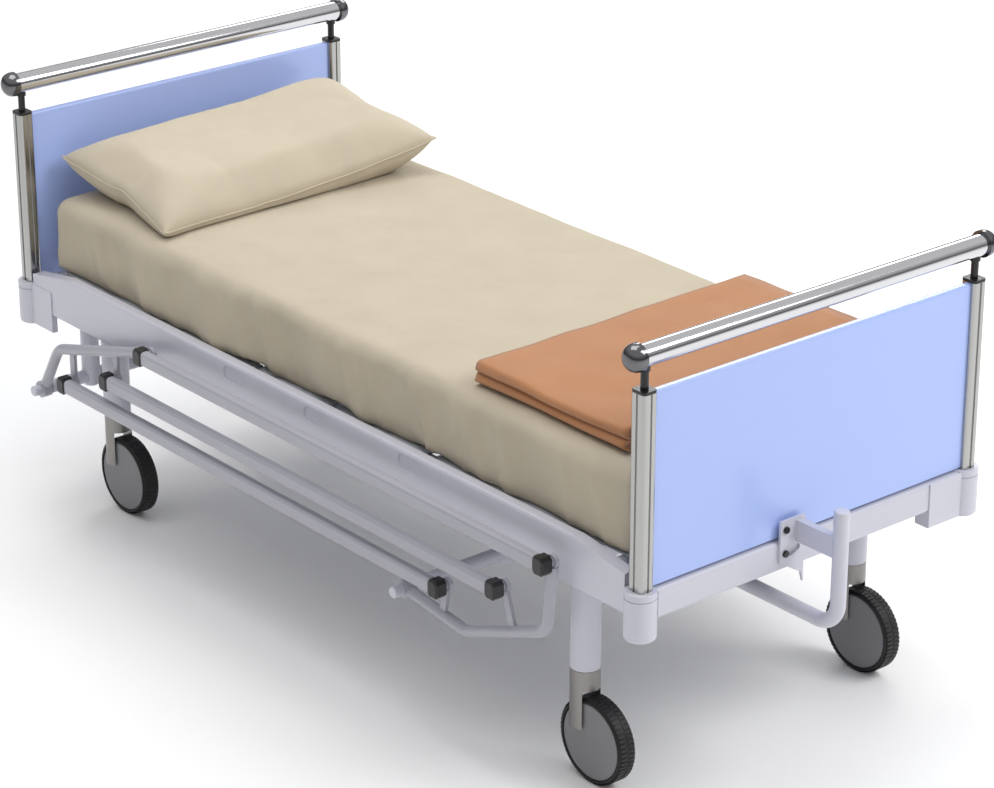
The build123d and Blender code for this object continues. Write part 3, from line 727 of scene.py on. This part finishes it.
class BED_OT_blanket(bpy.types.Operator):
    """Fold the blanket in layers and lay it on the foot of the mattress"""
    bl_idname = "bed.blanket"
    bl_label = "Blanket"

    def execute(self, context):
        softs = context.scene.bed_softs
        wool = cloth("blanket wool", context.scene.bed_colours.blanket, 0.0030, 0.35, 0.006)
        layer = softs.blanket_layer
        pitch = layer * PITCH_LAYERS
        line = doubled(folded_line(*BLANKET_X, pitch, BLANKET_FOLDS), layer * GAP_LAYERS)
        points, faces = [], []
        for row in range(BLANKET_ROWS + 1):
            along = row / BLANKET_ROWS
            for x, z in line:
                points.append(self.settle(x, along, z, layer))
        count = len(line)
        for row in range(BLANKET_ROWS):
            for index in range(count - 1):
                first = row * count + index
                faces.append((first, first + 1, first + count + 1, first + count))
        piece = new_piece("folded_blanket", points, faces, wool)
        wall = piece.modifiers.new("wall", "SOLIDIFY")
        wall.thickness = layer * WALL_LAYERS
        wall.offset = 0.0
        plain(piece)
        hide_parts("blanket")
        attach(piece, "calf")
        return {"FINISHED"}

    def settle(self, x, along, z, layer):
        """Where a point of the folded stack lies on the bed."""
        low, high = BLANKET_Y
        level = z / (layer * PITCH_LAYERS * BLANKET_FOLDS)
        across = (x - BLANKET_X[0]) / (BLANKET_X[1] - BLANKET_X[0])
        y = low + (high - low) * along
        y += (along - 0.5) * 0.012 * noise.noise(Vector((x * 3.0, level * 4.0, 1.0)))
        y += 0.010 * (along - 0.5) * (0.5 - level) + 0.014 * across
        x += 0.008 * noise.noise(Vector((y * 4.0, level * 5.0, 8.0))) * abs(2 * across - 1)
        loose = 0.011 * level * noise.noise(Vector((x * 4.0, y * 5.0, 3.0)))
        wave = 0.005 * level * noise.noise(Vector((x * 11.0, y * 9.0, 1.0)))
        rest = MATTRESS_HIGH.z + layer * REST_LAYERS
        return (x, y, rest + z + loose + wave + 0.004 * level)


# The tyres


TYRE_CROWN = 0.005
TYRE_EDGE = 0.007
TREAD_LIFT = 0.3
TREAD_SINK = 0.0004
TYRE_TURNS = 96
# Shares of the pitch of the blocks, and of the tyre's width twice.
BLOCK_LENGTH = 0.72
BLOCK_WIDTH = 0.38
ROW_PLACE = 0.235


def tyre_profile(box_low, box_high, core, rim):
    """The tyre's outline on one side of its axle, as (x, radius), going round."""
    low, high = box_low.x, box_high.x
    outline = [(low + TYRE_EDGE * 0.4, core), (low, core + TYRE_EDGE), (low, rim - TYRE_EDGE * 1.4)]
    steps = 8
    for step in range(steps + 1):
        share = step / steps
        x = low + 0.0015 + (high - low - 0.003) * share
        drop = TYRE_CROWN * abs(2.0 * share - 1.0) ** 2.6
        outline.append((x, rim - drop))
    outline += [(high, rim - TYRE_EDGE * 1.4), (high, core + TYRE_EDGE),
                (high - TYRE_EDGE * 0.4, core)]
    return outline


def tread_tree(blocks):
    """Geometry Nodes: blocks of rubber in two rows round a tyre, half a block apart."""
    tree = bpy.data.node_groups.new("tread blocks", "GeometryNodeTree")
    face = tree.interface
    face.new_socket("Geometry", in_out="INPUT", socket_type="NodeSocketGeometry")
    face.new_socket("Geometry", in_out="OUTPUT", socket_type="NodeSocketGeometry")
    wanted = (("Blocks", "NodeSocketInt"), ("Radius", "NodeSocketFloat"),
              ("Axle", "NodeSocketVector"), ("Block size", "NodeSocketVector"),
              ("Row offset", "NodeSocketFloat"), ("Rubber", "NodeSocketMaterial"))
    for name, kind in wanted:
        face.new_socket(name, in_out="INPUT", socket_type=kind)

    def add(kind, **settings):
        node = tree.nodes.new(kind)
        for key, value in settings.items():
            setattr(node, key, value)
        return node

    def link(source, output, target, socket):
        tree.links.new(source.outputs[output], target.inputs[socket])

    given = add("NodeGroupInput")
    result = add("NodeGroupOutput")
    joined = add("GeometryNodeJoinGeometry")
    link(given, "Geometry", joined, "Geometry")
    block = add("GeometryNodeMeshCube")
    link(given, "Block size", block, "Size")
    for side in (1.0, -1.0):
        circle = add("GeometryNodeMeshCircle")
        link(given, "Blocks", circle, "Vertices")
        link(given, "Radius", circle, "Radius")
        aim = add("FunctionNodeAlignRotationToVector", axis="Z")
        place = add("GeometryNodeInputPosition")
        link(place, "Position", aim, "Vector")
        lay = add("FunctionNodeAlignRotationToVector", axis="Y", pivot_axis="Z")
        link(aim, "Rotation", lay, "Rotation")
        lay.inputs["Vector"].default_value = (0.0, 0.0, 1.0)
        spread = add("GeometryNodeInstanceOnPoints")
        link(circle, "Mesh", spread, "Points")
        link(block, "Mesh", spread, "Instance")
        link(lay, "Rotation", spread, "Rotation")
        stand = add("GeometryNodeTransform")
        link(spread, "Instances", stand, "Geometry")
        stagger = math.pi / blocks if side > 0.0 else 0.0
        stand.inputs["Rotation"].default_value = (0.0, 0.0, stagger)
        tip = add("GeometryNodeTransform")
        link(stand, "Geometry", tip, "Geometry")
        tip.inputs["Rotation"].default_value = (0.0, math.pi / 2, 0.0)
        shift = add("ShaderNodeCombineXYZ")
        offset = add("ShaderNodeMath", operation="MULTIPLY")
        link(given, "Row offset", offset, 0)
        offset.inputs[1].default_value = side
        link(offset, "Value", shift, "X")
        at_axle = add("ShaderNodeVectorMath", operation="ADD")
        link(given, "Axle", at_axle, 0)
        link(shift, "Vector", at_axle, 1)
        move = add("GeometryNodeTransform")
        link(tip, "Geometry", move, "Geometry")
        link(at_axle, "Vector", move, "Translation")
        link(move, "Geometry", joined, "Geometry")
    real = add("GeometryNodeRealizeInstances")
    link(joined, "Geometry", real, "Geometry")
    paint = add("GeometryNodeSetMaterial")
    link(real, "Geometry", paint, "Geometry")
    link(given, "Rubber", paint, "Material")
    link(paint, "Geometry", result, "Geometry")
    return tree


def set_input(modifier, name, value):
    """Set a named input of a Geometry Nodes modifier by its identifier."""
    for item in modifier.node_group.interface.items_tree:
        if item.item_type == "SOCKET" and item.in_out == "INPUT" and item.name == name:
            modifier[item.identifier] = value
            return
    raise KeyError(name)


class BED_OT_tyres(bpy.types.Operator):
    """Make the treaded tyres of the four casters"""
    bl_idname = "bed.tyres"
    bl_label = "Tyres"

    def execute(self, context):
        wheels = context.scene.bed_wheels
        rubber = plastic("tyre rubber", (0.014, 0.014, 0.015), 0.55, 0.0004)
        tree = tread_tree(wheels.tread_blocks)
        for caster in CASTERS:
            self.tyre(caster, wheels, rubber, tree)
        return {"FINISHED"}

    def tyre(self, caster, wheels, rubber, tree):
        low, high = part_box("caster_tyre_" + caster)
        disc_low, disc_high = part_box("caster_disc_" + caster)
        axle = (low + high) / 2
        core = (disc_high.z - disc_low.z) / 2 - 0.0005
        full = (high.z - low.z) / 2
        rim = full - wheels.tread_depth
        profile = tyre_profile(low, high, core, rim)
        points, faces = [], []
        for turn in range(TYRE_TURNS):
            angle = 2.0 * math.pi * turn / TYRE_TURNS
            for x, radius in profile:
                points.append((x, axle.y + radius * math.cos(angle),
                               axle.z + radius * math.sin(angle)))
        count = len(profile)
        for turn in range(TYRE_TURNS):
            other = (turn + 1) % TYRE_TURNS
            for index in range(count):
                after = (index + 1) % count
                faces.append((turn * count + index, turn * count + after,
                              other * count + after, other * count + index))
        piece = new_piece("tyre_" + caster, points, faces, rubber)
        tread = piece.modifiers.new("tread", "NODES")
        tread.node_group = tree
        width = high.x - low.x
        pitch = 2.0 * math.pi * full / wheels.tread_blocks
        depth = wheels.tread_depth * (1.0 + TREAD_LIFT)
        set_input(tread, "Blocks", wheels.tread_blocks)
        set_input(tread, "Radius", full - depth / 2 - TREAD_SINK)
        set_input(tread, "Axle", tuple(axle))
        set_input(tread, "Block size", (pitch * BLOCK_LENGTH, width * BLOCK_WIDTH, depth))
        set_input(tread, "Row offset", width * ROW_PLACE)
        set_input(tread, "Rubber", rubber)
        plain(piece)
        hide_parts("caster_tyre_" + caster)
        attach(piece, "wheel_" + caster)


# The stage


FLOOR_HALF = 30.0
SKY_STRENGTH = 0.72
LIGHT_AIM = (0.0, 0.0, 0.5)
LIGHTS = (
    ("key", (2.6, -4.6, 5.6), (3.2, 3.2), 225.0),
    ("top", (-0.5, 1.0, 6.0), (4.0, 4.0), 135.0),
    ("back", (4.5, 3.5, 4.0), (4.0, 1.5), 90.0),
)


def area_light(name, place, size, power):
    data = bpy.data.lights.new(name, "AREA")
    data.shape = "RECTANGLE"
    data.size, data.size_y = size
    data.energy = power
    light = bpy.data.objects.new(name, data)
    light.location = place
    light.rotation_euler = (Vector(LIGHT_AIM) - Vector(place)).to_track_quat("-Z", "Y").to_euler()
    bpy.context.scene.collection.objects.link(light)


class BED_OT_stage(bpy.types.Operator):
    """Set up the floor, the studio light and the camera"""
    bl_idname = "bed.stage"
    bl_label = "Stage"

    def sky(self, tree, background):
        """Studio surroundings: white overhead, grey round the horizon."""
        place = tree.nodes.new("ShaderNodeTexCoord")
        split = tree.nodes.new("ShaderNodeSeparateXYZ")
        ramp = tree.nodes.new("ShaderNodeValToRGB")
        stops = ramp.color_ramp.elements
        stops[0].position, stops[0].color = 0.02, (0.16, 0.16, 0.17, 1.0)
        stops[1].position, stops[1].color = 0.55, (1.0, 1.0, 1.0, 1.0)
        tree.links.new(place.outputs["Generated"], split.inputs["Vector"])
        tree.links.new(split.outputs["Z"], ramp.inputs["Fac"])
        tree.links.new(ramp.outputs["Color"], background.inputs["Color"])

    def execute(self, context):
        stage = context.scene.bed_stage
        corners = [(-FLOOR_HALF, -FLOOR_HALF, 0.0), (FLOOR_HALF, -FLOOR_HALF, 0.0),
                   (FLOOR_HALF, FLOOR_HALF, 0.0), (-FLOOR_HALF, FLOOR_HALF, 0.0)]
        floor = new_piece("floor", corners, [(0, 1, 2, 3)],
                          Shade("floor", stage.floor, 0.85).material, smooth=False)
        world = bpy.data.worlds.new("studio")
        world.use_nodes = True
        background = world.node_tree.nodes["Background"]
        background.inputs["Strength"].default_value = SKY_STRENGTH
        self.sky(world.node_tree, background)
        context.scene.world = world
        for light in LIGHTS:
            area_light(*light)
        context.scene.view_settings.view_transform = "Standard"
        data = bpy.data.cameras.new("view")
        data.lens = stage.camera_lens
        data.sensor_width = 36.0
        data.clip_end = 100.0
        camera = bpy.data.objects.new("view", data)
        camera.location = stage.camera_place
        camera.rotation_euler = (math.pi / 2 - stage.camera_down, 0.0, stage.camera_turn)
        context.scene.collection.objects.link(camera)
        context.scene.camera = camera
        return {"FINISHED"}


# The add-on


OPERATORS = (BED_OT_finishes, BED_OT_mattress, BED_OT_pillow, BED_OT_blanket, BED_OT_tyres,
             BED_OT_stage)
GROUPS = {"bed_colours": BedColours, "bed_softs": BedSofts, "bed_wheels": BedWheels,
          "bed_stage": BedStage}


class BED_PT_panel(bpy.types.Panel):
    """Lists the bed's pieces"""
    bl_idname = "BED_PT_panel"
    bl_label = "Hospital Bed"
    bl_space_type = "VIEW_3D"
    bl_region_type = "UI"
    bl_category = "Hospital Bed"

    def draw(self, context):
        for group_name, group in GROUPS.items():
            box = self.layout.box()
            for name in group.__annotations__:
                box.prop(getattr(context.scene, group_name), name)
        for operator in OPERATORS:
            self.layout.operator(operator.bl_idname)


def register():
    for cls in (*GROUPS.values(), *OPERATORS, BED_PT_panel):
        bpy.utils.register_class(cls)
    for name, group in GROUPS.items():
        setattr(bpy.types.Scene, name, bpy.props.PointerProperty(type=group))


def unregister():
    for name in GROUPS:
        delattr(bpy.types.Scene, name)
    for cls in (BED_PT_panel, *reversed(OPERATORS), *GROUPS.values()):
        bpy.utils.unregister_class(cls)


def main():
    register()
    for operator in OPERATORS:
        getattr(bpy.ops.bed, operator.bl_idname.split(".")[1])()


if __name__ == "__main__":
    main()
